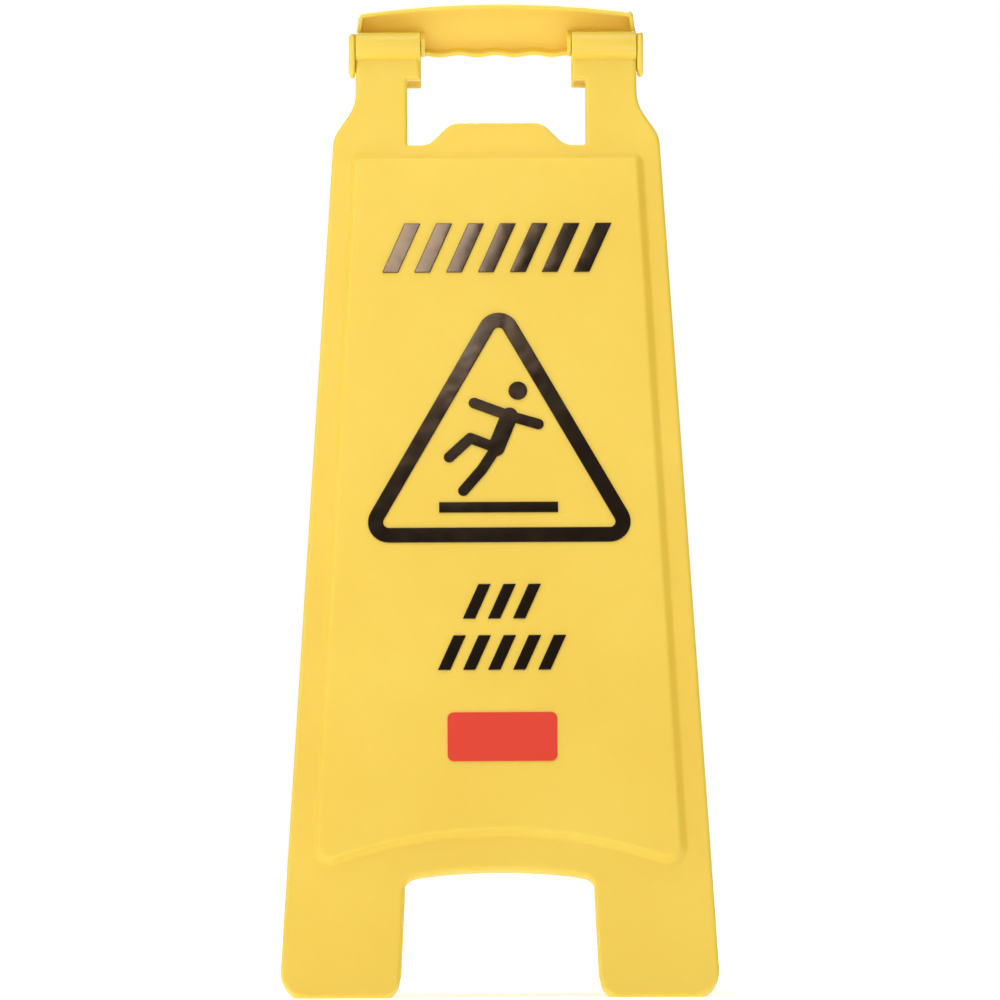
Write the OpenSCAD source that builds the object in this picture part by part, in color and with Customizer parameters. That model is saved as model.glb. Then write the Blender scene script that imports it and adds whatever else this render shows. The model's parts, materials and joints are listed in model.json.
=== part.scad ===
// Folding two-panel wet floor sign: two moulded trays hinged under a carrying handle.
// The sign stands open. X runs along the hinge, the front panel faces -Y and Z points up.
// A panel is drawn flat, with x across it, "drop" down it from the hinge axis, and z out of its face.

/* [Stance] */
// Lean of each panel from upright when open, in degrees
lean = 13; // [11:0.5:15]
// Height of the hinge axis above the floor
axis_z = 607.5; // [590:0.5:620]
// How far the hinge axis lies in front of the middle of the footprint
axis_forward = 9.5; // [8:0.1:11]

/* [Shell] */
// Wall thickness of both mouldings
wall = 2.6; // [2.2:0.1:3]
// Depth of each tray, from its face to its open back edge
tray_d = 12; // [11.6:0.1:12.2]
// Height of the front face above the hinge axis plane
front_face = 3; // [2.6:0.1:3.2]
// Height of the rear face above the hinge axis plane
rear_face = 21.5; // [21.3:0.1:22]
// Height of the raised message field above the face
field_rise = 5; // [4:0.5:6]
// Width of the slope round the message field
field_slope = 4; // [3:0.5:5]

/* [Outline] */
// Half width across the feet
foot_half = 140.8; // [138:0.1:142]
// Half width at the shoulders
shoulder_half = 104.3; // [103:0.1:106]
// Half width across the arms beside the hinge
arm_half = 89.9; // [89.3:0.1:89.9]
// Half width of the hand opening
hand_half = 57.1; // [56:0.1:58]
// Radius of the outer foot corners
foot_r = 18; // [12:0.5:20]
// Radius of the inner foot corners
foot_inner_r = 14; // [8:0.5:16]
// Radius of the leg arch's curved top
arch_r = 370; // [300:10:500]

/* [Hinge] */
// Radius of the hinge barrels
barrel_r = 9.6; // [9:0.1:9.7]
// Radius of the hinge pins
pin_r = 3.5; // [3:0.1:4]
// Radial running clearance of the pins in the barrels
pin_play = 0.05; // [0.02:0.01:0.08]
// Distance from the middle to the inner end of a barrel
barrel_in = 48.6; // [48.4:0.1:49]
// Gap between the barrel ends and the rear panel
side_gap = 0.3; // [0.3:0.1:0.4]
// Thickness of the end cheeks
cheek_t = 3.9; // [3.5:0.1:4.2]

/* [Handle] */
// Height of the handle's middle above the hinge axis, up the rear panel
handle_top = 25.5; // [24:0.1:27]
// Radius of the handle's arched top
handle_arch_r = 629; // [500:1:800]
// Pitch of the finger waves under the handle
wave_pitch = 24; // [22:0.5:26]
// Height of each finger wave
wave_h = 1.4; // [1:0.1:1.8]

/* [Message] */
// Thickness of the raised bars and signs
print_t = 0.9; // [0.6:0.1:1.2]
// Height of the upper row of bars
upper_bars_h = 32.3; // [30:0.1:34]
// Height of the middle and lower rows of bars
lower_bars_h = 22.8; // [21:0.1:24]
// Share of each row that is bar rather than gap
bar_share = 0.5; // [0.35:0.05:0.65]
// Slant of the bars from upright, in degrees
bar_slant = 24; // [10:1:40]
// Half width of the triangle across its outer corners, before rounding
tri_half = 93.6; // [90:0.1:96]
// Width of the triangle's band
tri_band = 9.8; // [8:0.1:11]
// Width of the badge plate
badge_w = 70; // [60:1:76]
// Height of the badge plate
badge_h = 32; // [26:1:40]

/* [Hidden] */

eps = 0.01;
yellow = [0.96, 0.80, 0.22];
black = [0.12, 0.09, 0.07];
red = [0.84, 0.22, 0.14];
grey = [0.72, 0.72, 0.70];

// Where each tray's floor line lies down its panel, at its outer face
front_foot = (axis_z + front_face * sin(lean)) / cos(lean);
rear_foot = (axis_z + rear_face * sin(lean)) / cos(lean);
// The rear panel's features sit lower by this much, so that both line up when the sign stands
rear_drop = rear_foot - front_foot;
sole_t = 6;
hand_bottom = 64.8;
tab_top = 50.4;
tab_r = 12;
arch_top = 540.4;
ear_bottom = 21.9;
ear_in = barrel_in + 0.2;
ledge_bottom = 29.2;
lug_r = 6.2;
lug_t = 2.8;
lip_bottom = 8.3;
barrel_out = arm_half + 0.2;
cheek_in = barrel_out + side_gap;
cheek_out = cheek_in + cheek_t;
cheek_low = 10.2;
stop_plane = 10.4;
stop_gap = 0.2;
stop_up = 6.4;
rib_t = 2;
rib_low = -12;
rib_high = 5;
clear_r = barrel_r + 0.6;
// The stop pads and ribs stand behind the barrels, along this stretch
stop_from = 54;
stop_to = 84;
rib_places = [58, 69, 80];
window_gap = 0.4;
wave_step = 3;
field_low = 518.7;
field_arch_r = 300;

// ---------- outlines ----------

// A point of an outline: x, the drop below the hinge axis, and the corner's radius
function at(x, drop, r = 0) = [x, -drop, r];
function xy(p) = [p[0], p[1]];
function unit(v) = v / norm(v);
function left_of(v) = [-v[1], v[0]];
function cyclic(pts, i) = pts[(i + len(pts)) % len(pts)];

// The other half of an outline that runs anticlockwise from bottom to top on its right side
function mirrored(pts) = [for (i = [len(pts) - 1 : -1 : 0])
    if (pts[i][0] > eps) [-pts[i][0], pts[i][1], pts[i][2]]];
function both_sides(pts) = concat(pts, mirrored(pts));

// Move every edge of an anticlockwise outline inwards by d, or outwards if d is negative
function inset_corner(a, b, c, d) =
    let (n1 = left_of(unit(xy(b) - xy(a))), n2 = left_of(unit(xy(c) - xy(b))))
    let (turn = n1[0] * n2[1] - n1[1] * n2[0])
    let (p = xy(b) + d * (n1 + n2) / (1 + n1 * n2))
    [p[0], p[1], b[2] == 0 ? 0 : max(turn > 0 ? b[2] - d : b[2] + d, 0.3)];
function inset(pts, d) = [for (i = [0 : len(pts) - 1])
    inset_corner(cyclic(pts, i - 1), pts[i], cyclic(pts, i + 1), d)];

// Round each corner that has a radius, with a step of about twelve degrees
function corner_points(a, b, c) =
    let (u = unit(xy(a) - xy(b)), w = unit(xy(c) - xy(b)), half = acos(u * w) / 2)
    let (mid = xy(b) + unit(u + w) * b[2] / sin(half), reach = b[2] / tan(half))
    let (s = xy(b) + u * reach - mid, e = xy(b) + w * reach - mid)
    let (a0 = atan2(s[1], s[0]), raw = atan2(e[1], e[0]) - a0)
    let (sweep = raw > 180 ? raw - 360 : (raw < -180 ? raw + 360 : raw))
    let (steps = max(2, ceil(abs(sweep) / 12)))
    [for (k = [0 : steps]) mid + b[2] * [cos(a0 + sweep * k / steps), sin(a0 + sweep * k / steps)]];
function rounded(pts) = [for (i = [0 : len(pts) - 1])
    each (pts[i][2] == 0 ? [xy(pts[i])] : corner_points(cyclic(pts, i - 1), pts[i], cyclic(pts, i + 1)))];

// The leg arch, a foot and the side, from the arch's middle up to the hinge
function lower_side(shift, foot) = [
    each [for (x = [0 : 8 : 48]) at(x, arch_top + shift + x * x / (2 * arch_r))],
    at(60.6, arch_top + 5.6 + shift, 9),
    at(64.2, foot, foot_inner_r),
    at(foot_half, foot, foot_r),
    at(shoulder_half, 59.3 + shift, 20),
    at(arm_half, 38.2 + shift, 28)
];

// The arm's top and the hand opening, from the hinge to the middle of the tab
function front_arm() = [
    at(arm_half, 0),
    at(hand_half, 0),
    at(hand_half, hand_bottom, 1),
    at(43.2, hand_bottom, tab_r),
    at(29, tab_top, tab_r),
    at(0, tab_top)
];
front_outline = both_sides(concat(lower_side(0, front_foot), front_arm()));

handle_half = 87.6;
handle_end_drop = handle_half * handle_half / (2 * handle_arch_r) - handle_top;
handle_arc = [for (x = [72 : -12 : 0]) at(x, x * x / (2 * handle_arch_r) - handle_top)];
rear_outline = both_sides(concat(
    lower_side(rear_drop, rear_foot),
    [at(arm_half, -4), at(88.6, -8), at(handle_half, handle_end_drop, 4)],
    handle_arc
));

// The rear hand opening is a closed window below the handle
waves = [for (x = [0 : wave_step : 45]) at(x, lip_bottom - wave_h / 2 * cos(360 * x / wave_pitch))];
rear_window = both_sides(concat(
    [at(0, tab_top + rear_drop), at(29, tab_top + rear_drop, tab_r), at(43.2, hand_bottom + rear_drop, tab_r),
     at(hand_half + window_gap, hand_bottom + rear_drop, 1), at(hand_half + window_gap, ledge_bottom, 1),
     at(barrel_in - window_gap, ledge_bottom, 1), at(barrel_in - window_gap, lip_bottom - wave_h / 2, 0)],
    [for (i = [len(waves) - 1 : -1 : 0]) waves[i]]
));

function field_outline(shift) = both_sides(concat(
    [for (x = [0 : 14 : 98]) at(x, field_low + shift + x * x / (2 * field_arch_r))],
    [at(120.2, field_low + 24.1 + shift, 12), at(93.3, 71.7 + shift, 6)]
));

// ---------- solids ----------

// A closed solid between two outlines of equal length, its flat ends made of triangles round a middle point
module loft(low, high, z0, z1, middle) {
    n = len(low);
    points = concat(
        [for (p = low) [p[0], p[1], z0]],
        [for (p = high) [p[0], p[1], z1]],
        [[middle[0], middle[1], z0], [middle[0], middle[1], z1]]
    );
    sides = [for (i = [0 : n - 1]) let (j = (i + 1) % n) each [[i, n + i, n + j], [i, n + j, j]]];
    ends = [for (i = [0 : n - 1]) let (j = (i + 1) % n) each [[2 * n, i, j], [2 * n + 1, n + j, n + i]]];
    polyhedron(points, concat(sides, ends));
}

// The field's block, whose sloping sides start a little below the face
module field_block(shift, face, shrink) {
    below = 1;
    foot_ring = rounded(inset(field_outline(shift), shrink - below * field_slope / field_rise));
    top_ring = rounded(inset(field_outline(shift), shrink + field_slope));
    loft(foot_ring, top_ring, face - below, face + field_rise, [0, -300 - shift]);
}

// A tray with a raised field: open at the back, and hollow behind the field too
module tray(outline, window, shift, face) {
    back = face - tray_d;
    hollow = rounded(inset(outline, wall));
    difference() {
        union() {
            translate([0, 0, back]) linear_extrude(tray_d) polygon(rounded(outline));
            field_block(shift, face, 0);
        }
        translate([0, 0, back - 1]) linear_extrude(tray_d - wall + 1) difference() {
            polygon(hollow);
            if (len(window) > 0) polygon(rounded(inset(window, -wall)));
            soles(face);
        }
        translate([0, 0, -wall]) field_block(shift, face, wall * 0.4);
        if (len(window) > 0) translate([0, 0, back - 2]) linear_extrude(tray_d + 4) polygon(rounded(window));
    }
}

// The solid soles keep their thickness where the floor plane trims the feet
module soles(face) {
    foot = (axis_z + face * sin(lean)) / cos(lean);
    translate([-foot_half, -foot - 1]) square([2 * foot_half, sole_t + 1]);
}

// A disc or tube along the hinge axis, from x0 to x1
module along_axis(x0, x1, r) {
    translate([x0, 0, 0]) rotate([0, 90, 0]) cylinder(h = x1 - x0, r = r, $fn = 96);
}

module on_sides() {
    children();
    mirror([1, 0, 0]) children();
}

// Hinge frame to standing position
module to_axis() { translate([0, -axis_forward, axis_z]) children(); }
module stand_front() { to_axis() rotate([90 - lean, 0, 0]) children(); }
module stand_rear() { to_axis() rotate([0, 0, 180]) rotate([90 - lean, 0, 0]) children(); }

module above_floor() {
    difference() {
        children();
        translate([-200, -250, -60]) cube([400, 500, 60]);
    }
}

// The flat pad behind each barrel that meets the rear ribs when the sign is fully open
module stop_pad() {
    flat = stop_plane - stop_gap;
    rotate([lean, 0, 0]) translate([stop_from, 0, 0]) rotate([90, 0, 90]) linear_extrude(stop_to - stop_from)
        polygon([[0, 0], [flat, 0], [flat, stop_up], [5, 8.2]]);
}

module front_panel() {
    color(yellow) difference() {
        above_floor() {
            stand_front() tray(front_outline, [], 0, front_face);
            stand_front() on_sides() translate([ear_in, -ear_bottom, -1])
                cube([hand_half - ear_in + 1, ear_bottom, front_face + 1]);
            to_axis() on_sides() along_axis(barrel_in, barrel_out, barrel_r);
            to_axis() on_sides() stop_pad();
        }
        to_axis() on_sides() along_axis(barrel_in - 2, barrel_out + 2, pin_r + pin_play);
    }
}

module inner_lug() {
    lug_in = barrel_in - side_gap - lug_t;
    along_axis(lug_in, lug_in + lug_t, lug_r);
    translate([lug_in, -lug_r, -rear_face + wall / 2]) cube([lug_t, 2 * lug_r, rear_face - wall / 2]);
}

module stop_ribs() {
    for (x = rib_places)
        translate([x - rib_t / 2, rib_low, -rear_face + wall / 2])
            cube([rib_t, rib_high - rib_low, rear_face - wall / 2 - stop_plane]);
}

// The ledge under each barrel's inner end is solid, from the window's edge to behind the front arm
module ledge() {
    high = ear_bottom - 1.5;
    translate([barrel_in + 0.2, -ledge_bottom + 0.6, rear_face - tray_d + 0.3])
        cube([hand_half - barrel_in + 1, ledge_bottom - 0.6 - high, tray_d - 1.5]);
}

// In the rear panel's flat frame the face looks along +z, so the hinge parts are drawn for -z
module hinge_side() { mirror([0, 0, 1]) children(); }

module rear_panel() {
    color(yellow) above_floor() stand_rear() difference() {
        union() {
            difference() {
                tray(rear_outline, rear_window, rear_drop, rear_face);
                on_sides() along_axis(barrel_in - side_gap, cheek_in, clear_r);
            }
            on_sides() ledge();
            on_sides() cheek();
            on_sides() hinge_side() inner_lug();
            on_sides() hinge_side() stop_ribs();
        }
        on_sides() along_axis(barrel_in - side_gap - lug_t - 2, cheek_out + 2, pin_r);
    }
}

// An end cheek: a rounded plate from the handle's side to in front of the barrel
module cheek() {
    translate([cheek_in, 0, 0]) rotate([90, 0, 90]) linear_extrude(cheek_t) cheek_profile();
    translate([arm_half - wall, 0, 0]) rotate([90, 0, 90]) linear_extrude(cheek_in - arm_half + wall + eps)
        intersection() {
            cheek_profile();
            translate([-40, clear_r]) square([80, rear_face]);
        }
}

// Drawn with x up the panel and y towards its face
module cheek_profile() {
    hull() {
        circle(r = barrel_r, $fn = 96);
        translate([-cheek_low, 0]) circle(r = barrel_r, $fn = 96);
        translate([-cheek_low - barrel_r, rear_face - 3]) square([barrel_r + cheek_low + 5.4, 2]);
    }
}

module hinge_pin(side) {
    color(grey) to_axis() mirror([side > 0 ? 0 : 1, 0, 0])
        along_axis(barrel_in - side_gap - lug_t, cheek_out - 0.3, pin_r);
}

// ---------- message ----------

// Lay a flat drawing on a panel's raised field
module raised(face) {
    translate([0, 0, face + field_rise]) linear_extrude(print_t) children();
}
module on_front() { stand_front() raised(front_face) children(); }
module on_rear() { stand_rear() raised(rear_face) translate([0, -rear_drop]) children(); }

// Shift of the lower bars and the badge to the right of the panel's middle
lower_shift = 2.2;

// A row of slanted hazard bars. top is the drop of their upper ends
module hazard_bars(count, pitch, high, top) {
    half = pitch * bar_share / 2;
    slant = high * tan(bar_slant) / 2;
    for (i = [0 : count - 1])
        translate([(i - (count - 1) / 2) * pitch, -top - high])
            polygon([[-half - slant, 0], [half - slant, 0], [half + slant, high], [-half + slant, high]]);
}
module upper_bars() { hazard_bars(7, 20.4, upper_bars_h, 118.3); }
module middle_bars() { translate([lower_shift, 0]) hazard_bars(3, 16, lower_bars_h, 355.1); }
module lower_bars() { translate([lower_shift, 0]) hazard_bars(5, 16, lower_bars_h, 388.6); }

tri_low = 327.9;
tri_high = 163.5;
tri_r = 13.4;
tri_x = 0.8;
tri_outline = [
    at(tri_x, tri_high, tri_r),
    at(tri_x - tri_half, tri_low, tri_r),
    at(tri_x + tri_half, tri_low, tri_r)
];
module triangle() {
    difference() {
        polygon(rounded(tri_outline));
        polygon(rounded(inset(tri_outline, tri_band)));
    }
}

// A person slipping backwards, as a round head and limbs of even thickness
limb_t = 7;
torso_t = 11;
head_r = 6;
hip = [-1, -266];
shoulder = [7.5, -245];
module limb(from, to, thick) {
    hull() {
        translate(from) circle(d = thick, $fn = 32);
        translate(to) circle(d = thick, $fn = 32);
    }
}
module slip_figure() {
    front_knee = [-10, -280];
    rear_knee = [-17.5, -259.5];
    translate([13, -228.5]) circle(r = head_r, $fn = 64);
    limb(hip, shoulder, torso_t);
    limb(hip, front_knee, limb_t);
    limb(front_knee, [-22, -294], limb_t);
    limb(hip, rear_knee, limb_t);
    limb(rear_knee, [-31, -272], limb_t);
    limb(shoulder, [-15, -236.5], limb_t);
    limb(shoulder, [26, -250.5], limb_t);
}
module floor_bar() {
    translate([-37.6, -308.4]) square([76, 7]);
}
badge_top = 439;
module badge() {
    corner = 4;
    half = badge_w / 2;
    translate([lower_shift, 0]) polygon(rounded([
        at(-half, badge_top, corner), at(-half, badge_top + badge_h, corner),
        at(half, badge_top + badge_h, corner), at(half, badge_top, corner)
    ]));
}

front_panel();
rear_panel();
hinge_pin(-1);  // left_hinge_pin
hinge_pin(1);  // right_hinge_pin
color(black) on_front() upper_bars();  // front_upper_bars
color(black) on_front() triangle();  // front_triangle
color(black) on_front() slip_figure();  // front_slip_figure
color(black) on_front() floor_bar();  // front_floor_bar
color(black) on_front() middle_bars();  // front_middle_bars
color(black) on_front() lower_bars();  // front_lower_bars
color(red) on_front() badge();  // front_badge
color(black) on_rear() upper_bars();  // rear_upper_bars
color(black) on_rear() triangle();  // rear_triangle
color(black) on_rear() slip_figure();  // rear_slip_figure
color(black) on_rear() floor_bar();  // rear_floor_bar
color(black) on_rear() middle_bars();  // rear_middle_bars
color(black) on_rear() lower_bars();  // rear_lower_bars
color(red) on_rear() badge();  // rear_badge
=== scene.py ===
"""Looks of the folding wet floor sign: two moulded trays on a hinge, raised foil signs, a white studio."""
import json
import math

import bmesh
import bpy
from mathutils import Matrix, Vector
from mathutils.geometry import tessellate_polygon


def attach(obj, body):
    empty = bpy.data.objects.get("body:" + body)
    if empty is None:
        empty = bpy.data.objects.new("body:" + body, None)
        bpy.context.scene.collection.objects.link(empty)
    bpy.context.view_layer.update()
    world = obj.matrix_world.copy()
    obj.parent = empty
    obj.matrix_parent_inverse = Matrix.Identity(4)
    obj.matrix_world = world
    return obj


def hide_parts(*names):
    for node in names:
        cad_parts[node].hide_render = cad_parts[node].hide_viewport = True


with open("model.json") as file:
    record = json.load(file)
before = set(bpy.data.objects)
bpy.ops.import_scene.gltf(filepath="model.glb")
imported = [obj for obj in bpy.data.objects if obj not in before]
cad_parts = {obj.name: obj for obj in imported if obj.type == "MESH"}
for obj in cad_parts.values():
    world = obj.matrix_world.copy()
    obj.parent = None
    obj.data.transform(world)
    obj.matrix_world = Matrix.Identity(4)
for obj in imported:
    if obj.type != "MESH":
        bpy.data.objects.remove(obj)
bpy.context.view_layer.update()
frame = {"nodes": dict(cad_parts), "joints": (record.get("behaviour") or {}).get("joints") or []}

MM = 0.001

# ---------- sizes, in millimetres as the design states them ----------

# Stance: the hinge axis and the lean come from the frame's own joint
HINGE = frame["joints"][0]
AXIS = Vector(HINGE["pos_m"])
LEAN = math.radians(HINGE["range_deg"][1]) / 2

# Both trays. HOLD is the flat strip beyond a rounded edge that keeps its shading to itself
WALL = 2.6
TRAY_DEPTH = 12
FRONT_FACE = 3
REAR_FACE = 21.5
FIELD_RISE = 5
FIELD_SLOPE = 4
SOLE = 6
EDGE_R = 2.4
INNER_R = 1.2
RIM_R = 0.8
TOE_R = 2.2
TOP_R = 2.6
FIELD_FLAT = 1.6
HOLD = 0.5

# Outline
FOOT_HALF = 140.8
SHOULDER_HALF = 104.3
ARM_HALF = 89.9
HAND_HALF = 57.1
FOOT_R = 18
FOOT_INNER_R = 14
ARCH_TOP = 540.4
ARCH_R = 370
HAND_BOTTOM = 64.8
TAB_TOP = 50.4
TAB_TOP_HALF = 29
TAB_BOTTOM_HALF = 43.2
TAB_R = 12
EAR_BOTTOM = 21.9
FIELD_LOW = 518.7
FIELD_ARCH_R = 300
LEDGE_BOTTOM = 29.2
LEDGE_OUT = HAND_HALF + 1.2

# Hinge
BARREL_R = 9.6
BARREL_SOFT = 0.7
CLEAR_R = BARREL_R + 0.6
BORE_R = 3.55
BORE_SOFT = 0.3
BARREL_IN = 48.6
BARREL_OUT = 90.1
EAR_IN = BARREL_IN + 0.2
EAR_SKIRT = 1.2
SIDE_GAP = 0.3
CHEEK_IN = BARREL_OUT + SIDE_GAP
CHEEK_T = 3.9
CHEEK_LOW = 10.2
CHEEK_R = 9
CHEEK_EDGE = 1.9
LUG_R = 6.2
LUG_T = 2.8
LUG_IN = BARREL_IN - SIDE_GAP - LUG_T
LINK_IN = ARM_HALF - WALL + 0.4

# The stop: flat pads behind the barrels, and the ribs that meet them when the sign is fully open
STOP_PLANE = 10.4
STOP_GAP = 0.2
STOP_UP = 6.4
STOP_FROM = 54
STOP_TO = 84
RIB_PLACES = (58, 69, 80)
RIB_T = 2
RIB_LOW = -12
RIB_HIGH = 5

# Handle
HANDLE_TOP = 25.5
HANDLE_HALF = 87.6
HANDLE_ARCH_R = 629
WAVE_PITCH = 24
WAVE_H = 1.4
LIP_BOTTOM = 8.3
WINDOW_GAP = 0.4

# Steps of arcs and turned shapes
ARC_STEP = math.radians(9)
TURN_STEPS = 64
SHARP_ANGLE = math.radians(38)


def floor_drop(face):
    """How far down a panel its face meets the floor."""
    return (AXIS.z / MM + face * math.sin(LEAN)) / math.cos(LEAN)


REAR_DROP = floor_drop(REAR_FACE) - floor_drop(FRONT_FACE)

# ---------- flat outlines ----------


def at(x, drop, radius=0.0):
    """A corner of an outline: across the panel, down from the hinge axis, and how it is rounded."""
    return (x, -drop, radius)


def both_sides(half):
    """The whole of an outline given its right side from bottom to top, anticlockwise."""
    return half + [(-x, y, r) for x, y, r in reversed(half) if x > 1e-6]


def arc_steps(points):
    """How many steps each corner's arc takes, so that rings drawn from one outline match."""
    out = []
    for i, p in enumerate(points):
        u = Vector(p[:2]) - Vector(points[i - 1][:2])
        v = Vector(points[(i + 1) % len(points)][:2]) - Vector(p[:2])
        out.append(max(2, math.ceil(u.angle(v) / ARC_STEP)) if p[2] else 0)
    return out


def corner_arc(a, b, c, radius, steps):
    """The arc that rounds corner b between a and c."""
    u = (a - b).normalized()
    v = (c - b).normalized()
    half = math.acos(max(-1, min(1, u.dot(v)))) / 2
    middle = b + (u + v).normalized() * radius / math.sin(half)
    start = b + u * radius / math.tan(half) - middle
    end = b + v * radius / math.tan(half) - middle
    first = math.atan2(start.y, start.x)
    sweep = math.remainder(math.atan2(end.y, end.x) - first, 2 * math.pi)
    angles = [first + sweep * k / steps for k in range(steps + 1)]
    return [middle + radius * Vector((math.cos(t), math.sin(t))) for t in angles]


def rounded(points, steps=None):
    """Corner points with their radii, turned into a plain list of points."""
    steps = steps or arc_steps(points)
    flat = [Vector(p[:2]) for p in points]
    out = []
    for i, p in enumerate(points):
        if steps[i]:
            out += corner_arc(flat[i - 1], flat[i], flat[(i + 1) % len(flat)], p[2], steps[i])
        else:
            out.append(flat[i])
    return out


def inset(points, distance):
    """The outline with every edge moved inwards, and its corner radii to suit."""
    flat = [Vector(p[:2]) for p in points]
    out = []
    for i, p in enumerate(points):
        along = (flat[i] - flat[i - 1]).normalized()
        onward = (flat[(i + 1) % len(flat)] - flat[i]).normalized()
        n1 = Vector((-along.y, along.x))
        n2 = Vector((-onward.y, onward.x))
        moved = flat[i] + distance * (n1 + n2) / (1 + n1.dot(n2))
        turn = n1.x * n2.y - n1.y * n2.x
        radius = p[2] - distance if turn > 0 else p[2] + distance
        out.append((moved.x, moved.y, max(radius, 0.3) if p[2] else 0))
    return out


def lower_side(shift, foot):
    """The leg arch, a foot and the side, from the arch's middle up to the arm."""
    return [at(x, ARCH_TOP + shift + x * x / (2 * ARCH_R)) for x in range(0, 49, 4)] + [
        at(60.6, ARCH_TOP + 5.6 + shift, 9),
        at(64.2, foot, FOOT_INNER_R),
        at(FOOT_HALF, foot, FOOT_R),
        at(SHOULDER_HALF, 59.3 + shift, 20),
        at(ARM_HALF, 38.2 + shift, 28),
    ]


def front_outline(foot):
    """The front tray, whose arms end inside the hinge barrels."""
    return both_sides(lower_side(0, foot) + [
        at(ARM_HALF, 0),
        at(EAR_IN, 0),
        at(EAR_IN, EAR_BOTTOM, 0.8),
        at(HAND_HALF, EAR_BOTTOM, 0.8),
        at(HAND_HALF, HAND_BOTTOM, 1),
        at(TAB_BOTTOM_HALF, HAND_BOTTOM, TAB_R),
        at(TAB_TOP_HALF, TAB_TOP, TAB_R),
        at(0, TAB_TOP),
    ])


def rear_outline(foot):
    """The rear tray, which runs on up to the arched handle."""
    def arch(x):
        return x * x / (2 * HANDLE_ARCH_R) - HANDLE_TOP

    return both_sides(
        lower_side(REAR_DROP, foot)
        + [at(ARM_HALF, drop) for drop in (10, 7, 4, 1, -2, -5)]
        + [at(88.9, -9, 3), at(HANDLE_HALF, arch(HANDLE_HALF), 4)]
        + [at(x, arch(x)) for x in range(78, -1, -6)]
    )


def rear_window():
    """The rear hand opening, with finger waves along the handle's lip."""
    def wave(x):
        return LIP_BOTTOM - WAVE_H / 2 * math.cos(2 * math.pi * x / WAVE_PITCH)

    side = BARREL_IN - WINDOW_GAP
    corner = HAND_HALF + WINDOW_GAP
    return both_sides([
        at(0, TAB_TOP + REAR_DROP),
        at(TAB_TOP_HALF, TAB_TOP + REAR_DROP, TAB_R),
        at(TAB_BOTTOM_HALF, HAND_BOTTOM + REAR_DROP, TAB_R),
        at(corner, HAND_BOTTOM + REAR_DROP, 1),
        at(corner, LEDGE_BOTTOM, 1),
        at(side, LEDGE_BOTTOM, 1),
        at(side, wave(side), 0.6),
    ] + [at(x, wave(x)) for x in range(44, -1, -2)])


def field_outline(shift):
    """The raised message field, with an arched lower edge."""
    return both_sides(
        [at(x, FIELD_LOW + shift + x * x / (2 * FIELD_ARCH_R)) for x in range(0, 99, 7)]
        + [at(120.2, FIELD_LOW + 24.1 + shift, 12), at(93.3, 71.7 + shift, 6)]
    )


# ---------- mesh building ----------


class Skin:
    """Closed shells drawn flat in a panel's own frame, in millimetres, and stood up in their place."""

    def __init__(self, rear):
        turn = Matrix.Rotation(math.pi, 4, "Z") if rear else Matrix.Identity(4)
        lean = Matrix.Rotation(math.pi / 2 - LEAN, 4, "X")
        self.place = Matrix.Translation(AXIS) @ turn @ lean @ Matrix.Scale(MM, 4)
        self.up = (self.place.to_3x3() @ Vector((0, 1, 0))).normalized()
        self.mesh = bmesh.new()
        self.parts = []

    def vert(self, x, y, w):
        """A vertex, kept on or above the floor by sliding it up the panel."""
        p = self.place @ Vector((x, y, w))
        if p.z < 0:
            p -= self.up * (p.z / self.up.z)
        return self.mesh.verts.new(p)

    def bridge(self, a, b):
        """A band of faces between two rings."""
        for i in range(len(a)):
            j = (i + 1) % len(a)
            self.mesh.faces.new((a[i], a[j], b[j], b[i]))

    def chain(self, rings):
        """Bands between each ring and the next."""
        for a, b in zip(rings, rings[1:]):
            self.bridge(a, b)

    def fill(self, loops):
        """Flat faces inside the first loop and outside the others."""
        flat = [v for loop in loops for v in loop]
        back = self.place.inverted()
        lines = [[(back @ v.co).xy.to_3d() for v in loop] for loop in loops]
        for a, b, c in tessellate_polygon(lines):
            self.mesh.faces.new((flat[a], flat[b], flat[c]))

    def close(self):
        """End one closed shell, so that the next one can overlap it."""
        bmesh.ops.recalc_face_normals(self.mesh, faces=self.mesh.faces)
        data = bpy.data.meshes.new("part")
        self.mesh.to_mesh(data)
        self.mesh.clear()
        obj = bpy.data.objects.new("part", data)
        bpy.context.scene.collection.objects.link(obj)
        self.parts.append(obj)

    def object(self, name):
        """All the shells, united into one closed mesh."""
        base, *others = self.parts
        for other in others:
            join = base.modifiers.new("join", "BOOLEAN")
            join.operation = "UNION"
            join.solver = "EXACT"
            join.object = other
        view = bpy.context.evaluated_depsgraph_get()
        data = bpy.data.meshes.new_from_object(base.evaluated_get(view))
        for part in self.parts:
            old = part.data
            bpy.data.objects.remove(part)
            bpy.data.meshes.remove(old)
        data.name = name
        data.shade_smooth()
        data.set_sharp_from_angle(angle=SHARP_ANGLE)
        obj = bpy.data.objects.new(name, data)
        bpy.context.scene.collection.objects.link(obj)
        return obj


def skirt_section(face):
    """Across the tray's wall: from the face round the edge, down the skirt, and back up inside."""
    back = face - TRAY_DEPTH
    inner = face - WALL
    return rounded([
        (EDGE_R + HOLD, face, 0),
        (0, face, EDGE_R),
        (0, back, RIM_R),
        (WALL, back, RIM_R),
        (WALL, inner, INNER_R),
        (WALL + INNER_R + HOLD, inner, 0),
    ])


def field_section(level, toe):
    """Up the message field's slope, starting on the flat beside it."""
    head = toe + FIELD_SLOPE
    return rounded([
        (toe - FIELD_FLAT, level, 0),
        (toe, level, TOE_R),
        (head, level + FIELD_RISE, TOP_R),
        (head + FIELD_FLAT + HOLD, level + FIELD_RISE, 0),
    ])


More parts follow.
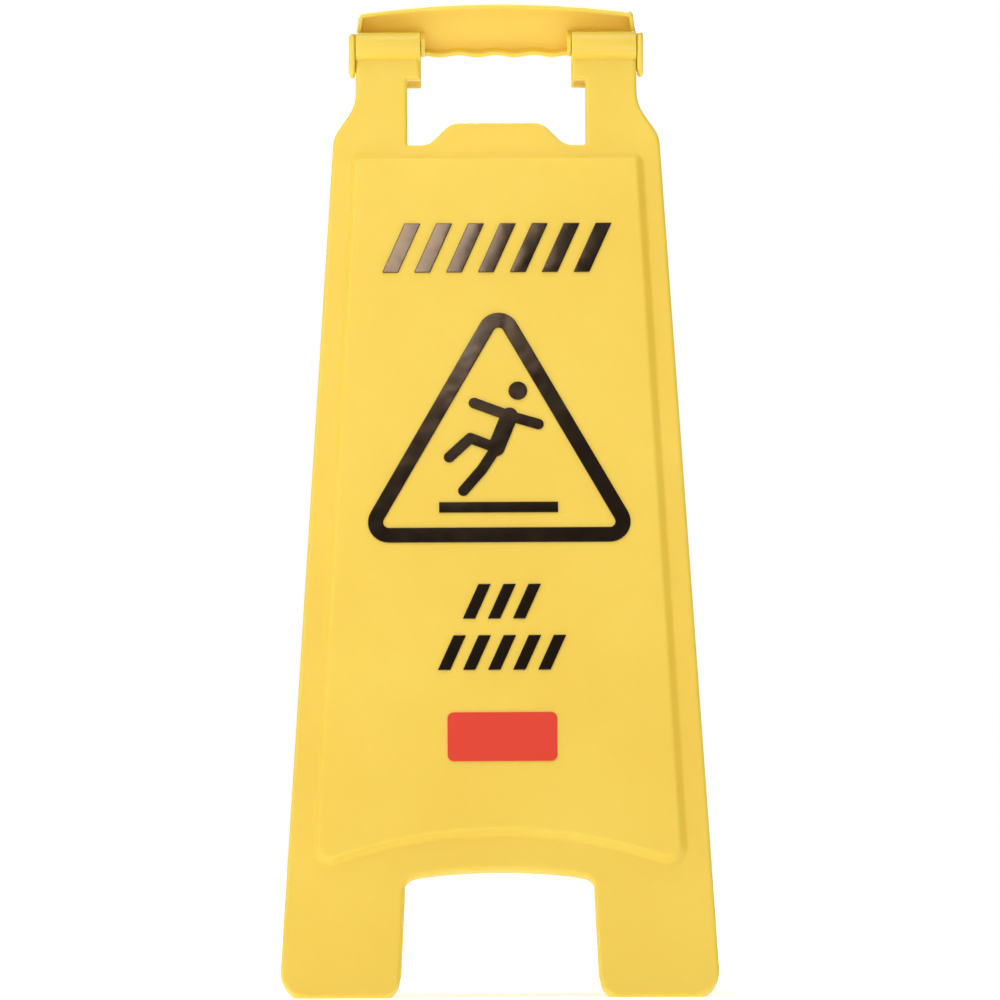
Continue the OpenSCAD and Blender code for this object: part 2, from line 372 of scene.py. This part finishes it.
def ear_lift(x, y, w):
    """The front tray's ears have only a shallow skirt, so that the ledge behind them shows."""
    deep = FRONT_FACE - WALL - INNER_R
    if -y < EAR_BOTTOM + 0.1 and abs(x) < HAND_HALF - 0.2 and w < deep:
        return deep - EAR_SKIRT * (deep - w) / (TRAY_DEPTH - FRONT_FACE + deep)
    return w


def barrel_relief(x, y, w):
    """The rear tray's edge stays clear of the barrels. A tenth of its height keeps the rings apart."""
    if abs(x) > BARREL_IN - 2 and abs(y) < CLEAR_R:
        above_rim = w - (REAR_FACE - TRAY_DEPTH)
        return max(w, math.sqrt(CLEAR_R * CLEAR_R - y * y) + above_rim * 0.1)
    return w


def tray(skin, outline, window, face, shift, shape):
    """A tray with a raised field. outline takes the foot's drop, so that the soles can be thick inside."""
    foot = floor_drop(face)
    section = skirt_section(face)
    steps = arc_steps(outline(foot))
    outer = []
    for depth, w in section:
        inside = w <= face - WALL + 1e-6 and depth > WALL / 2
        lift = (SOLE - WALL) if inside else 0
        ring = rounded(inset(outline(foot - lift), depth), steps)
        outer.append([skin.vert(p.x, p.y, shape(p.x, p.y, w)) for p in ring])
    skin.chain(outer)
    fronts = [outer[0]]
    insides = [outer[-1]]
    if window:
        hole = []
        steps = arc_steps(window)
        for depth, w in section:
            ring = rounded(inset(window, -depth), steps)
            hole.append([skin.vert(p.x, p.y, shape(p.x, p.y, w)) for p in ring])
        skin.chain(hole)
        fronts.append(hole[0])
        insides.append(hole[-1])
    slope = math.atan2(FIELD_RISE, FIELD_SLOPE)
    for level, toe, sides in ((face, 0, fronts), (face - WALL, WALL * math.tan(slope / 2), insides)):
        rings = []
        steps = arc_steps(field_outline(shift))
        for depth, w in field_section(level, toe):
            ring = rounded(inset(field_outline(shift), depth), steps)
            rings.append([skin.vert(p.x, p.y, w) for p in ring])
        skin.chain(rings)
        skin.fill([rings[-1]])
        sides.append(rings[0])
        skin.fill(sides)
    skin.close()


def lathe(skin, side, section):
    """A solid of revolution about the hinge axis. section lists (along, radius)."""
    angles = [2 * math.pi * k / TURN_STEPS for k in range(TURN_STEPS)]
    rings = []
    for x, r in section:
        rings.append([skin.vert(side * x, r * math.cos(t), r * math.sin(t)) for t in angles])
    skin.chain(rings + [rings[0]])
    skin.close()


def prism(skin, side, profile, x0, x1, edge):
    """A plate across the hinge axis. profile lists (up, out, radius) anticlockwise; its edges are rounded."""
    cuts = [0, 0.3, 0.7, 1]
    steps = arc_steps(profile)
    rings = []
    ends = [(x0, 1, t) for t in reversed(cuts)] + [(x1, -1, t) for t in cuts]
    for x, inward, t in ends:
        depth = edge * (1 - math.sqrt(1 - t * t))
        reach = x + inward * edge * (1 - t)
        ring = rounded(inset(profile, depth), steps)
        rings.append([skin.vert(side * reach, p.x, p.y) for p in ring])
    skin.chain(rings)
    for ring in (rings[0], rings[-1]):
        skin.mesh.faces.new(ring)
    skin.close()


# ---------- the two mouldings ----------


def barrel_section():
    """The barrel's wall, with softened ends and a bore for the pin."""
    turns = [k * math.pi / 8 for k in range(5)]
    corner = [(BARREL_SOFT * (1 - math.sin(t)), BARREL_R - BARREL_SOFT * (1 - math.cos(t))) for t in turns]
    inner_end = [(BARREL_IN + x, r) for x, r in reversed(corner)]
    outer_end = [(BARREL_OUT - x, r) for x, r in corner]
    bore = [
        (BARREL_OUT, BORE_R + BORE_SOFT),
        (BARREL_OUT - BORE_SOFT, BORE_R),
        (BARREL_IN + BORE_SOFT, BORE_R),
        (BARREL_IN, BORE_R + BORE_SOFT),
    ]
    return inner_end + outer_end + bore


def stop_profile():
    """The flat pad behind a barrel, turned from the rear panel's lean into the front panel's frame."""
    flat = STOP_PLANE - STOP_GAP
    corners = [(0.5, 0), (flat, 0), (flat, STOP_UP), (5, 8.2)]
    turn = 2 * LEAN
    out = []
    for n, t in corners:
        up = n * math.sin(turn) + t * math.cos(turn)
        outward = -n * math.cos(turn) + t * math.sin(turn)
        out.append((up, outward, 0.4))
    return out


def front_panel():
    """The front moulding: a tray, two hinge barrels and two stop pads."""
    skin = Skin(rear=False)
    tray(skin, front_outline, None, FRONT_FACE, 0, ear_lift)
    for side in (-1, 1):
        lathe(skin, side, barrel_section())
        prism(skin, side, stop_profile(), STOP_FROM, STOP_TO, 0.4)
    return skin.object("front_moulding")


# The profiles below give (up the panel, out towards its face, corner radius). They end inside the face's
# wall, at back. They run clockwise, and rear_panel turns them round.


def cheek_profile(back):
    """An end cheek, round where it covers the barrel."""
    low = -CHEEK_LOW - BARREL_R
    return [(low, -BARREL_R, CHEEK_R), (low, back, 1), (5.4, back, 1), (11.3, -BARREL_R, CHEEK_R)]


def link_profile(back):
    """What joins a cheek to the tray's side, behind the barrel's end."""
    low = -CHEEK_LOW - BARREL_R + 1
    return [(low, CLEAR_R, 0.3), (low, back - 1, 0.3), (5.4, back - 1, 0.3), (6.6, CLEAR_R, 0.3)]


def lug_profile(back):
    """An inner lug, which holds the pin's inner end."""
    top = back - 0.5
    return [(-LUG_R, -LUG_R, LUG_R), (-LUG_R, top, 0), (LUG_R, top, 0), (LUG_R, -LUG_R, LUG_R)]


def rib_profile(back):
    """A stop rib, whose free edge meets the front panel's pad."""
    return [(RIB_LOW, STOP_PLANE, 0.5), (RIB_LOW, back, 0), (RIB_HIGH, back, 0), (RIB_HIGH, STOP_PLANE, 0.5)]


def ledge_profile(back):
    """The solid ledge under a barrel's inner end."""
    rim = REAR_FACE - TRAY_DEPTH + 0.3
    low, high = -LEDGE_BOTTOM + 0.6, -EAR_BOTTOM + 1.5
    return [(low, rim, 0.8), (low, back, 0), (high, back, 0), (high, rim, 0.8)]


def rear_panel():
    """The rear moulding: a tray with the handle, and what holds and stops the hinge."""
    skin = Skin(rear=True)
    tray(skin, rear_outline, rear_window(), REAR_FACE, REAR_DROP, barrel_relief)
    back = REAR_FACE - 1
    makers = (cheek_profile, link_profile, lug_profile, rib_profile, ledge_profile)
    cheek, link, lug, rib, ledge = [make(back)[::-1] for make in makers]
    for side in (-1, 1):
        prism(skin, side, cheek, CHEEK_IN, CHEEK_IN + CHEEK_T, CHEEK_EDGE)
        prism(skin, side, link, LINK_IN, CHEEK_IN + 1, 0.1)
        prism(skin, side, lug, LUG_IN, LUG_IN + LUG_T, 0.5)
        prism(skin, side, ledge, EAR_IN, LEDGE_OUT, 0.3)
        for x in RIB_PLACES:
            prism(skin, side, rib, x - RIB_T / 2, x + RIB_T / 2, 0.4)
    return skin.object("rear_moulding")


# ---------- materials ----------


def shader(name):
    """A new material and the tools to wire it."""
    material = bpy.data.materials.new(name)
    material.use_nodes = True
    tree = material.node_tree
    return material, tree, tree.nodes["Principled BSDF"]


def noise(tree, scale, detail, rough=0.5):
    """Solid noise in the object's own coordinates."""
    where = tree.nodes.new("ShaderNodeTexCoord")
    made = tree.nodes.new("ShaderNodeTexNoise")
    made.inputs["Scale"].default_value = scale
    made.inputs["Detail"].default_value = detail
    made.inputs["Roughness"].default_value = rough
    tree.links.new(where.outputs["Object"], made.inputs["Vector"])
    return made.outputs["Fac"]


def ramp(tree, source, stops):
    """A colour ramp over a value. stops lists (position, colour)."""
    made = tree.nodes.new("ShaderNodeValToRGB")
    elements = made.color_ramp.elements
    while len(elements) < len(stops):
        elements.new(0.5)
    for element, (position, colour) in zip(elements, stops):
        element.position = position
        element.color = (*colour, 1)
    tree.links.new(source, made.inputs["Fac"])
    return made.outputs["Color"]


def bump(tree, height, distance, strength=1.0, before=None):
    """A bump of the shading, on top of the one before it. distance is in metres."""
    made = tree.nodes.new("ShaderNodeBump")
    made.inputs["Distance"].default_value = distance
    made.inputs["Strength"].default_value = strength
    tree.links.new(height, made.inputs["Height"])
    if before:
        tree.links.new(before, made.inputs["Normal"])
    return made.outputs["Normal"]


def moulded_yellow():
    """Satin polypropylene: a fine spark-eroded grain, slow ripples, and a little light inside it."""
    material, tree, skin = shader("yellow_moulding")
    mottle = noise(tree, 9, 4, 0.55)
    colour = ramp(tree, mottle, [(0.3, (0.835, 0.605, 0.072)), (0.7, (0.870, 0.650, 0.092))])
    tree.links.new(colour, skin.inputs["Base Color"])
    gloss = ramp(tree, noise(tree, 60, 3), [(0.3, (0.38,) * 3), (0.7, (0.46,) * 3)])
    tree.links.new(gloss, skin.inputs["Roughness"])
    skin.inputs["IOR"].default_value = 1.49
    skin.inputs["Subsurface Weight"].default_value = 0.6
    skin.inputs["Subsurface Radius"].default_value = (1.0, 0.85, 0.55)
    skin.inputs["Subsurface Scale"].default_value = 0.005
    ripples = bump(tree, noise(tree, 14, 2), 0.0006)
    grain = bump(tree, noise(tree, 2400, 2), 0.00002, 0.6, ripples)
    tree.links.new(grain, skin.inputs["Normal"])
    return material


def foil(name, colour, rough):
    """Hot-stamped foil over raised signs: glossy, with a faint orange-peel."""
    material, tree, skin = shader(name)
    skin.inputs["Base Color"].default_value = (*colour, 1)
    gloss = ramp(tree, noise(tree, 90, 3), [(0.3, (rough,) * 3), (0.75, (rough * 1.6,) * 3)])
    tree.links.new(gloss, skin.inputs["Roughness"])
    skin.inputs["IOR"].default_value = 1.42
    skin.inputs["Specular Tint"].default_value = (1.0, 0.74, 0.5, 1)
    skin.inputs["Coat Weight"].default_value = 0.15
    skin.inputs["Coat Roughness"].default_value = 0.05
    peel = bump(tree, noise(tree, 70, 1), 0.00009)
    tree.links.new(peel, skin.inputs["Normal"])
    return material


def pin_nylon():
    """Plain grey nylon of the hinge pins."""
    material, tree, skin = shader("pin_plastic")
    colour = ramp(tree, noise(tree, 300, 2), [(0.3, (0.50, 0.50, 0.48)), (0.7, (0.58, 0.58, 0.56))])
    tree.links.new(colour, skin.inputs["Base Color"])
    skin.inputs["Roughness"].default_value = 0.4
    tree.links.new(bump(tree, noise(tree, 1200, 2), 0.00003), skin.inputs["Normal"])
    return material


def paint(obj, material):
    """The object in one material."""
    obj.data.materials.clear()
    obj.data.materials.append(material)


# ---------- the raised message ----------


def soften(obj, width):
    """Round the sharp edges of a CAD node with modifiers, which leave its own mesh as it is."""
    weld = obj.modifiers.new("weld", "WELD")
    weld.merge_threshold = 0.00001
    flat = obj.modifiers.new("flatten", "DECIMATE")
    flat.decimate_type = "DISSOLVE"
    flat.angle_limit = math.radians(0.5)
    edge = obj.modifiers.new("round", "BEVEL")
    edge.width = width * MM
    edge.segments = 3
    edge.limit_method = "ANGLE"
    edge.angle_limit = math.radians(50)
    even = obj.modifiers.new("even", "WEIGHTED_NORMAL")
    even.weight = 100


# How far the edges of each raised sign are rounded
SOFTNESS = {
    "upper_bars": 0.7,
    "triangle": 0.6,
    "slip_figure": 0.5,
    "floor_bar": 0.5,
    "middle_bars": 0.5,
    "lower_bars": 0.5,
    "badge": 0.6,
}


def dress_message(black, red):
    """The CAD's raised signs, in foil and with soft edges."""
    for panel in ("front", "rear"):
        for sign, width in SOFTNESS.items():
            node = frame["nodes"][f"{panel}_{sign}"]
            paint(node, red if sign == "badge" else black)
            soften(node, width)


# ---------- studio ----------


def studio_white():
    """A white floor covering with a painted glow that grows away from the sign, so that it ends in the white
    room.
    """
    material, tree, skin = shader("studio_white")
    skin.inputs["Base Color"].default_value = (0.85, 0.85, 0.85, 1)
    skin.inputs["Roughness"].default_value = 0.9
    skin.inputs["Emission Color"].default_value = (1, 1, 1, 1)
    where = tree.nodes.new("ShaderNodeTexCoord")
    length = tree.nodes.new("ShaderNodeVectorMath")
    length.operation = "LENGTH"
    glow = tree.nodes.new("ShaderNodeMapRange")
    glow.interpolation_type = "SMOOTHSTEP"
    glow.inputs["From Min"].default_value = 0.5
    glow.inputs["From Max"].default_value = 2.2
    glow.inputs["To Min"].default_value = 0.55
    glow.inputs["To Max"].default_value = 1.0
    tree.links.new(where.outputs["Object"], length.inputs[0])
    tree.links.new(length.outputs["Value"], glow.inputs["Value"])
    # Painted glow: the emission rises from 0.55 near the sign to full white 2.2 m out
    tree.links.new(glow.outputs["Result"], skin.inputs["Emission Strength"])
    return material


def studio_floor():
    """A round floor."""
    radius, count = 6.0, 96
    angles = [2 * math.pi * k / count for k in range(count)]
    ring = [(radius * math.cos(t), radius * math.sin(t), 0) for t in angles]
    data = bpy.data.meshes.new("studio_floor")
    data.from_pydata([(0, 0, 0)] + ring, [], [(0, k + 1, (k + 1) % count + 1) for k in range(count)])
    obj = bpy.data.objects.new("studio_floor", data)
    bpy.context.scene.collection.objects.link(obj)
    paint(obj, studio_white())


def white_room():
    """Soft light from all round, against plain white."""
    world = bpy.data.worlds.new("studio_world")
    bpy.context.scene.world = world
    world.use_nodes = True
    nodes, links = world.node_tree.nodes, world.node_tree.links
    soft = nodes["Background"]
    soft.inputs["Color"].default_value = (1, 1, 1, 1)
    soft.inputs["Strength"].default_value = 0.17
    plain = nodes.new("ShaderNodeBackground")
    plain.inputs["Color"].default_value = (1, 1, 1, 1)
    seen = nodes.new("ShaderNodeLightPath")
    either = nodes.new("ShaderNodeMixShader")
    links.new(seen.outputs["Is Camera Ray"], either.inputs[0])
    links.new(soft.outputs[0], either.inputs[1])
    links.new(plain.outputs[0], either.inputs[2])
    links.new(either.outputs[0], nodes["World Output"].inputs["Surface"])


def softbox(name, place, target, width, height, power):
    """A soft rectangular light, in metres and watts."""
    data = bpy.data.lights.new(name, "AREA")
    data.shape = "RECTANGLE"
    data.size = width
    data.size_y = height
    data.energy = power
    obj = bpy.data.objects.new(name, data)
    obj.location = place
    obj.rotation_euler = (Vector(target) - Vector(place)).to_track_quat("-Z", "Y").to_euler()
    bpy.context.scene.collection.objects.link(obj)
    return obj


def studio():
    """Even light on a white floor, with a small lamp for the gleam on the upper bars."""
    studio_floor()
    middle = (0, 0, 0.3)
    softbox("key", (-1.6, -1.6, 1.9), middle, 1.2, 1.2, 13.8)
    softbox("side", (-2.2, -0.5, 0.7), middle, 0.8, 1.2, 5.7)
    softbox("fill", (0.5, -2.8, 0.4), middle, 1.8, 0.7, 10.5)
    softbox("top", (0, -0.3, 2.3), middle, 1.6, 1.2, 16)
    softbox("back", (-0.5, 1.9, 1.3), middle, 1.4, 1.0, 16)
    softbox("handle_back", (0, 1.3, 1.0), (0, 0, 0.62), 0.6, 0.3, 9)
    gleam = softbox("foil_gleam", (-0.155, -2.0, 1.6), (-0.03, 0, 0.5), 0.29, 0.42, 5.5)
    gleam.data.color = (1.0, 0.9, 0.84)
    white_room()


def camera():
    """A long lens at half the sign's height, turned by a hair as in a hand-levelled shot."""
    data = bpy.data.cameras.new("camera")
    data.lens = 1000
    data.sensor_width = 36
    data.clip_start = 1
    data.clip_end = 60
    obj = bpy.data.objects.new("camera", data)
    distance = 17.82
    obj.location = (0.0013, AXIS.y - distance, 0.3169)
    level = Matrix.Rotation(math.pi / 2, 4, "X")
    roll = Matrix.Rotation(math.radians(0.25), 4, "Y")
    obj.rotation_euler = (roll @ level).to_euler()
    bpy.context.scene.collection.objects.link(obj)
    bpy.context.scene.camera = obj


def tone():
    """Colours as they are, with no film look."""
    view = bpy.context.scene.view_settings
    view.view_transform = "Standard"
    view.look = "None"
    view.exposure = 0
    view.gamma = 1


# ---------- assemble ----------

yellow = moulded_yellow()
black = foil("black_foil", (0.007, 0.004, 0.002), 0.085)
red = foil("red_badge", (0.76, 0.05, 0.03), 0.3)

front = front_panel()
rear = rear_panel()
for obj, body, node in ((front, "front", "front_panel"), (rear, "rear", "rear_panel")):
    paint(obj, yellow)
    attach(obj, body)
    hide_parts(node)

nylon = pin_nylon()
for name in ("left_hinge_pin", "right_hinge_pin"):
    paint(frame["nodes"][name], nylon)
    soften(frame["nodes"][name], 0.4)

dress_message(black, red)
studio()
camera()
tone()
